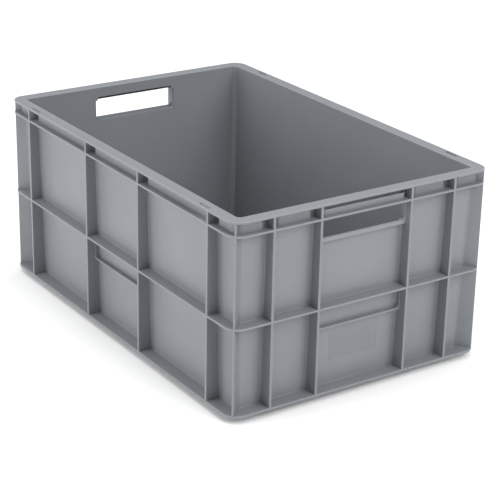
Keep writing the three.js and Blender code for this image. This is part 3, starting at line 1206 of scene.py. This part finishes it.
@dataclass(frozen=True)
class UBand:
    """A band bent to a U between two ribs: its arms hug the ribs and its lower part is a bar.

    The arms end inside the flange above. The lip of a hand hole and the small ledge are made of
    such bands.
    """

    sizes: CrateSizes
    bay_half: float
    low: float
    high: float
    bar: float
    front: float
    back: float
    arm: float
    corner: float
    edge: float
    follows_wall: bool = False
    rib_bury: float = 0.7 * MM
    outer_corner: float = 1.2 * MM
    into_flange: float = 1.2 * MM
    steps: int = 8
    wear_beside_edge: tuple[float, float] = (0.4, 0.6)

    def line(self, share: float, depth: float, lean: float) -> list[Vector]:
        """One line of the band along the U, in the side frame.

        Args:
            share: 0 on the band's inner face, 1 on its outer face.
            depth: how deep the line lies where the wall is at its highest.
            lean: how much of the wall's lean the line follows, from 0 to 1.

        Returns:
            The line's points, from the top of one arm to the top of the other.
        """
        half = self.bay_half - self.arm + (self.arm + self.rib_bury) * share
        low = self.low + self.bar * (1 - share)
        top = self.high + self.into_flange
        radius = self.corner * (1 - share) + self.outer_corner * share
        places = [(-half, top)]
        for sign, start in ((-1, 180), (1, 270)):
            for k in range(self.steps + 1):
                angle = math.radians(start + 90 * k / self.steps)
                s = sign * (half - radius) + radius * math.cos(angle)
                places.append((s, low + radius + radius * math.sin(angle)))
        places.append((half, top))
        shift = self.sizes.wall_depth_high
        return [Vector((s, depth + (self.sizes.wall_depth(z) - shift) * lean, z)) for s, z in places]

    def rows(self) -> list[tuple[float, float, float, float]]:
        """The band's section as share, depth, lean and wear, round its rounded front edges."""
        lean = 1.0 if self.follows_wall else 0.0
        face, ease = self.front + self.edge, self.edge / self.bar
        side_wear, front_wear = self.wear_beside_edge
        rows = [(0.0, face, 0.0, side_wear), (0.0, self.back, lean, 0.0), (1.0, self.back, lean, 0.0)]
        rows.append((1.0, face, 0.0, side_wear))
        turns = [QUARTER * k / ARC_STEPS for k in range(1, ARC_STEPS)]
        for turn in turns:
            share = 1.0 - ease * (1 - math.cos(turn))
            rows.append((share, face - self.edge * math.sin(turn), 0.0, 1.0))
        rows += [(1.0 - ease, self.front, 0.0, front_wear), (ease, self.front, 0.0, front_wear)]
        for turn in turns:
            rows.append((ease * (1 - math.sin(turn)), face - self.edge * math.cos(turn), 0.0, 1.0))
        return rows

    def mesh(self, name: str) -> bpy.types.Mesh:
        """Makes the band in the side frame."""
        rows = self.rows()
        lines = [self.line(share, depth, lean) for share, depth, lean, _ in rows]
        rings = [list(ring) for ring in zip(*lines)]
        return Loft(rings, [[row[3] for row in rows]] * len(rings)).mesh(name)


def bay_piece(shop: Workshop, name: str, side: Side, node: str, bands: list[UBand]) -> bpy.types.Object:
    """Makes the piece that stands between the two middle ribs of a side, out of its bands.

    Args:
        shop: the workshop.
        name: the piece's name.
        side: the side that it is on.
        node: the frame's node that it stands for.
        bands: the bands, in the side frame.

    Returns:
        The finished piece.
    """
    mesh = joined(name, [band.mesh(name + "_band") for band in bands])
    shop.in_side(mesh, side)
    return shop.finish(new_object(name, mesh), node)


@dataclass
class HandHoleFrame:
    """The lip of a hand hole, an angle in section, and the lining of the hole behind it."""

    shop: Workshop
    side: Side
    plate: float = 2.2 * MM
    plate_arm: float = 1.3 * MM
    plate_edge: float = 0.8 * MM
    lining: float = 2.1 * MM
    lining_arm: float = 1.1 * MM
    lining_edge: float = 0.4 * MM
    lining_step: float = 0.6 * MM
    lining_rise: float = 0.1 * MM
    past_wall: float = 0.15 * MM
    corner: float = 5.0 * MM

    def build(self) -> bpy.types.Object:
        """Makes the lip and the lining."""
        sizes, node = self.shop.sizes, f"hand_hole_lip_{self.side.label}"
        low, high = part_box(node)
        front = sizes.half_length - max(abs(low.x), abs(high.x))
        bay_half = sizes.short_inner_rib - sizes.rib_width / 2
        plate = UBand(
            sizes,
            bay_half,
            low=low.z,
            high=sizes.upper_flange_low,
            bar=high.z - low.z,
            front=front,
            back=front + self.plate,
            arm=self.plate_arm,
            corner=self.corner,
            edge=self.plate_edge,
        )
        lining = UBand(
            sizes,
            bay_half,
            low=low.z + self.lining_rise,
            high=sizes.upper_flange_low,
            bar=self.lining,
            front=front + self.lining_step,
            back=sizes.wall_depth_high + sizes.wall + self.past_wall,
            arm=self.lining_arm,
            corner=self.corner,
            edge=self.lining_edge,
        )
        name = f"hand_hole_frame_{self.side.label}"
        return bay_piece(self.shop, name, self.side, node, [plate, lining])


@dataclass
class CardFrame:
    """The small ledge under the middle flange, turned up at its ends along the ribs."""

    shop: Workshop
    side: Side
    arm: float = 0.9 * MM
    corner: float = 6.0 * MM
    edge: float = 0.5 * MM

    def build(self) -> bpy.types.Object:
        """Makes the ledge."""
        sizes, node = self.shop.sizes, f"small_ledge_{self.side.label}"
        low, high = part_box(node)
        outermost = max(abs(low.x), abs(high.x)) if self.side.is_short else max(abs(low.y), abs(high.y))
        inner_rib, _ = sizes.rib_stations(self.side)
        ledge = UBand(
            sizes,
            inner_rib - sizes.rib_width / 2,
            low=low.z,
            high=sizes.middle_flange_low,
            bar=high.z - low.z,
            front=sizes.reach(self.side) - outermost,
            back=sizes.wall_depth_high + LAP,
            arm=self.arm,
            corner=self.corner,
            edge=self.edge,
            follows_wall=True,
        )
        return bay_piece(self.shop, f"card_frame_{self.side.label}", self.side, node, [ledge])


@dataclass(frozen=True)
class TurnedStrip:
    """An upright strip on the upper flange that stands along a side and turns in at its ends.

    With a corner radius, its end away from the middle runs round the crate's corner to the fin.
    """

    sizes: CrateSizes
    start: float
    end: float
    front: float
    top: float
    thick: float = 2.0 * MM
    bend: float = 5.0 * MM
    corner_radius: float = 0.0
    edge: float = 0.9 * MM
    steps: int = 8
    wear_beside_edge: float = 0.3

    def arm(self, inwards: float) -> list[Vector]:
        """One long face of the strip in the s-d plane, from its start to its end.

        Args:
            inwards: how far the line lies behind the strip's outer face.

        Returns:
            The line's points.
        """
        wall = self.sizes.wall_depth_high + LAP
        points = []
        for end, sign in ((self.start, -1), (self.end, 1)):
            at_corner = self.corner_radius > 0 and sign * (self.start + self.end) > 0
            bend = self.corner_radius if at_corner else self.bend
            turn = QUARTER / 2 if at_corner else QUARTER
            centre, radius = end - sign * bend, bend - inwards
            arc = [] if at_corner else [Vector((centre + sign * radius, wall))]
            for k in range(self.steps + 1):
                angle = turn * (1 - k / self.steps)
                s, d = sign * radius * math.sin(angle), -radius * math.cos(angle)
                arc.append(Vector((centre + s, self.front + bend + d)))
            points += arc if sign < 0 else arc[::-1]
        return points

    def outline(self, inset: float) -> list[Vector]:
        """Plan outline of the strip, drawn in by an inset all round."""
        return self.arm(inset) + self.arm(self.thick - inset)[::-1]

    def mesh(self, name: str) -> bpy.types.Mesh:
        """Makes the strip in the side frame, with a rounded crest."""
        levels = [
            (self.sizes.upper_flange_low + LAP, 0.0, 0.0),
            (self.top - self.edge, 0.0, self.wear_beside_edge),
        ]
        levels += [(self.top - drop, inset, 1.0) for inset, drop in rounded_edge(self.edge)]
        rings = [[Vector((p.x, p.y, z)) for p in self.outline(inset)] for z, inset, _ in levels]
        wear = [[worn] * len(ring) for (*_, worn), ring in zip(levels, rings)]
        return Loft(rings, wear).mesh(name)


@dataclass
class RimStrips:
    """The strips of one side, one to a bay. Over a hand hole the strip is lower and is the grip."""

    shop: Workshop
    side: Side
    front: float = 9.5 * MM
    grip_front: float = 7.0 * MM
    grip_top: float = 260.0 * MM
    grip_bend: float = 7.0 * MM
    grip_stop: float = 4.5 * MM
    rib_stop: float = 9.0 * MM

    def strips(self) -> list[TurnedStrip]:
        """The strips between the ribs and out to the corners."""
        sizes, short = self.shop.sizes, self.side.is_short
        inner, outer = sizes.rib_stations(self.side)
        corner = (sizes.half_width if short else sizes.half_length) - self.front
        top = sizes.rim_low + LAP
        radius = sizes.corner_radius(self.front, sizes.wall_depth_high)
        made = []
        for sign in (1, -1):
            for low, high, round_corner in (
                (inner + self.rib_stop, outer - self.rib_stop, 0.0),
                (outer + self.rib_stop, corner, radius),
            ):
                start, end = sorted((sign * low, sign * high))
                made.append(TurnedStrip(sizes, start, end, self.front, top, corner_radius=round_corner))
        if short:
            end = inner - self.grip_stop
            front, top = self.grip_front, self.grip_top
            made.append(TurnedStrip(sizes, -end, end, front, top, bend=self.grip_bend))
        else:
            end = inner - self.rib_stop
            made.append(TurnedStrip(sizes, -end, end, self.front, top))
        return made

    def build(self) -> bpy.types.Object:
        """Makes the strips.

        Returns:
            The finished piece.
        """
        name = f"rim_strips_{self.side.label}"
        mesh = joined(name, [strip.mesh(name + "_part") for strip in self.strips()])
        self.shop.in_side(mesh, self.side)
        return self.shop.finish(new_object(name, mesh), f"rim_rail_{self.side.label}")


@dataclass
class FlutedField:
    """A plain field of fine upright flutes on the lower middle panel of a short side."""

    shop: Workshop
    side: Side
    count: int = 27
    spacing: float = 2.9 * MM
    low: float = 44.0 * MM
    high: float = 89.0 * MM
    half_width: float = 0.55 * MM
    proud: float = 0.35 * MM
    taper: float = 0.8 * MM
    taper_share: float = 0.25
    crest_share: float = 0.5
    bury: float = 0.3 * MM

    def flute(self) -> bpy.types.Mesh:
        """One flute in the side frame, with its back inside the wall."""
        sizes = self.shop.sizes
        rings = []
        rows = [
            (self.low, self.taper_share),
            (self.low + self.taper, 1.0),
            (self.high - self.taper, 1.0),
            (self.high, self.taper_share),
        ]
        for z, share in rows:
            wall = sizes.wall_depth(z)
            half, crest = self.half_width * share, wall - self.proud * share
            flat = half * self.crest_share
            places = [(half, wall + self.bury), (half, wall), (flat, crest)]
            outline = [(-s, d) for s, d in places] + places[::-1]
            rings.append([Vector((s, d, z)) for s, d in outline])
        return Loft(rings).mesh("flute")

    def build(self) -> bpy.types.Object:
        """Makes the field.

        Returns:
            The finished piece.
        """
        inputs = {"Count": self.count, "Spacing": self.spacing, "Material": self.shop.plastic}
        field_of_flutes = grown(f"fluted_field_{self.side.label}", self.flute(), self.shop.row, inputs)
        self.shop.in_side(field_of_flutes.data, self.side)
        return self.shop.finish(field_of_flutes)


@dataclass
class FloorTray:
    """The floor, with its edge turned up to the walls, and the ribs across its underside."""

    shop: Workshop
    fillet: float = 5.0 * MM
    rib_draft: float = 0.4 * MM
    rib_edge: float = 0.5 * MM
    rib_lap: float = 0.8 * MM
    rib_count: int = 5
    bury: float = 1.2 * MM
    proud: float = 0.1 * MM
    steps: int = 6

    def contour(self, depth: float, radius: float, z: float) -> list[Vector]:
        """A rounded rectangle at a depth in from the sides and a height."""
        sizes = self.shop.sizes
        centre_x, centre_y = sizes.half_length - depth - radius, sizes.half_width - depth - radius
        points = []
        for quadrant in range(4):
            across = math.copysign(1, math.cos(math.radians(45 + 90 * quadrant)))
            up = math.copysign(1, math.sin(math.radians(45 + 90 * quadrant)))
            for k in range(CORNER_STEPS + 1):
                angle = math.radians(90 * quadrant + 90 * k / CORNER_STEPS)
                x = across * centre_x + radius * math.cos(angle)
                y = up * centre_y + radius * math.sin(angle)
                points.append(Vector((x, y, z)))
        return points

    def tray(self) -> bpy.types.Object:
        """Makes the floor."""
        sizes = self.shop.sizes
        low, high = (corner.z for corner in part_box("floor_panel"))
        wall = sizes.wall_depth_low + sizes.wall
        hidden = wall - self.bury
        rings = [self.contour(hidden, sizes.inner_corner, low)]
        rings.append(self.contour(hidden, sizes.inner_corner, high + self.fillet))
        for k in range(self.steps + 1):
            angle = QUARTER * k / self.steps
            depth = wall - self.proud + self.fillet * (1 - math.cos(angle))
            z = high + self.fillet * (1 - math.sin(angle))
            rings.append(self.contour(depth, sizes.inner_corner, z))
        mesh = Loft(rings).mesh("floor_tray")
        return self.shop.finish(new_object("floor_tray", mesh), "floor_panel")

    def underside_ribs(self) -> bpy.types.Object:
        """Makes the row of ribs across the underside."""
        nodes = [f"underside_rib_{i + 1}" for i in range(self.rib_count)]
        (low, high), (next_low, _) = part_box(nodes[0]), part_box(nodes[1])
        half_run, half, top = high.y, (high.x - low.x) / 2, high.z + self.rib_lap
        outline = rounded(
            [
                Corner(half - self.rib_draft / 2, low.z, self.rib_edge),
                Corner(half + self.rib_draft / 2, top),
                Corner(-half - self.rib_draft / 2, top),
                Corner(-half + self.rib_draft / 2, low.z, self.rib_edge),
            ]
        )
        rings = [[Vector((p.x, y, p.y)) for p in outline] for y in (-half_run, half_run)]
        wear = [[p.wear for p in outline]] * 2
        spacing = next_low.x - low.x
        inputs = {"Count": self.rib_count, "Spacing": spacing, "Material": self.shop.plastic}
        ribs = grown("floor_underside_ribs", Loft(rings, wear).mesh("under_rib"), self.shop.row, inputs)
        return self.shop.finish(ribs, *nodes)

    def build(self) -> None:
        """Makes the floor and its ribs."""
        self.tray()
        self.underside_ribs()


# ---- Studio ----------------------------------------------------------------------------------


@dataclass(frozen=True)
class SoftBox:
    """A soft area light that faces the middle of the crate."""

    name: str
    azimuth: float
    elevation: float
    distance: float
    size: float
    power: float

    def build(self, aim: Vector) -> bpy.types.Object:
        """Hangs the light.

        Args:
            aim: the point that it faces.

        Returns:
            The light's object.
        """
        data = bpy.data.lights.new(self.name, "AREA")
        data.shape = "SQUARE"
        data.size = self.size
        data.energy = self.power
        lamp = bpy.data.objects.new(self.name, data)
        bpy.context.scene.collection.objects.link(lamp)
        turn, rise = math.radians(self.azimuth), math.radians(self.elevation)
        flat = math.cos(rise)
        away = Vector((math.sin(turn) * flat, -math.cos(turn) * flat, math.sin(rise)))
        lamp.location = aim + away * self.distance
        lamp.rotation_euler = (-away).to_track_quat("-Z", "Y").to_euler()
        return lamp


@dataclass
class Studio:
    """Pale floor, soft light and the camera."""

    sizes: CrateSizes
    azimuth: float = 55.944
    elevation: float = 21.973
    roll: float = 1.204
    distance: float = 2.3012
    aim_height: float = 142.0 * MM
    aim_right: float = 20.6 * MM
    aim_up: float = -45.84 * MM
    focal_length: float = 117.36
    film_width: float = 36.0
    floor_half: float = 9.0
    floor_drop: float = 0.05 * MM
    sky: float = 0.34
    lights: list[SoftBox] = field(
        default_factory=lambda: [
            SoftBox("front_softbox", -12.0, 20.0, 2.6, 1.8, 42.0),
            SoftBox("right_softbox", 104.0, 34.0, 2.8, 1.8, 54.0),
            SoftBox("back_softbox", 192.0, 22.0, 2.8, 1.6, 18.0),
            SoftBox("left_softbox", 282.0, 22.0, 2.8, 1.6, 18.0),
            SoftBox("top_softbox", 0.0, 88.0, 2.6, 2.2, 46.0),
        ]
    )

    def camera(self) -> None:
        """Sets up the camera."""
        turn, rise, roll = (math.radians(v) for v in (self.azimuth, self.elevation, self.roll))
        flat = math.cos(rise)
        back = Vector((math.sin(turn) * flat, -math.cos(turn) * flat, math.sin(rise)))
        level = Vector((math.cos(turn), math.sin(turn), 0.0))
        upright = back.cross(level)
        right = level * math.cos(roll) + upright * math.sin(roll)
        up = upright * math.cos(roll) - level * math.sin(roll)
        aim = Vector((0.0, 0.0, self.aim_height)) + right * self.aim_right + up * self.aim_up
        data = bpy.data.cameras.new("camera")
        data.sensor_width = self.film_width
        data.lens = self.focal_length
        camera = bpy.data.objects.new("camera", data)
        axes = Matrix((right, up, back)).transposed().to_4x4()
        camera.matrix_world = Matrix.Translation(aim + back * self.distance) @ axes
        bpy.context.scene.collection.objects.link(camera)
        bpy.context.scene.camera = camera

    def floor(self) -> None:
        """Lays the floor."""
        build = bmesh.new()
        bmesh.ops.create_grid(build, x_segments=2, y_segments=2, size=self.floor_half)
        bmesh.ops.translate(build, verts=build.verts, vec=(0.0, 0.0, -self.floor_drop))
        mesh = bpy.data.meshes.new("studio_floor")
        build.to_mesh(mesh)
        build.free()
        mesh.materials.append(PaleFloor().build())
        new_object("studio_floor", mesh)

    def sky_light(self) -> None:
        """Sets an even pale sky."""
        world = bpy.data.worlds.new("studio_sky")
        world.use_nodes = True
        background = world.node_tree.nodes["Background"].inputs
        background["Color"].default_value = (1.0, 1.0, 1.0, 1.0)
        background["Strength"].default_value = self.sky
        bpy.context.scene.world = world

    def build(self) -> None:
        """Sets up the studio."""
        self.camera()
        self.floor()
        self.sky_light()
        aim = Vector((0.0, 0.0, self.sizes.height / 2))
        for light in self.lights:
            light.build(aim)
        bpy.context.scene.view_settings.view_transform = "Standard"


def main() -> None:
    """Builds the studio and the crate, region by region."""
    sizes = CrateSizes.read()
    Studio(sizes).build()
    shop = Workshop(
        sizes=sizes,
        ring=ring_tree(),
        ribs=rib_tree(),
        row=row_tree(),
        corner=corner_tree(),
        plastic=MouldedPolypropylene("moulded_grey_polypropylene").build(),
    )
    WallShell(shop).build()
    Flanges(shop).build()
    Rim(shop).build()
    FloorTray(shop).build()
    CornerFins(shop).build()
    for side in Side:
        UprightRibs(shop, side).build()
        CardFrame(shop, side).build()
        RimStrips(shop, side).build()
    for side in SHORT_SIDES:
        HandHoleFrame(shop, side).build()
        FlutedField(shop, side).build()


if __name__ == "__main__":
    main()
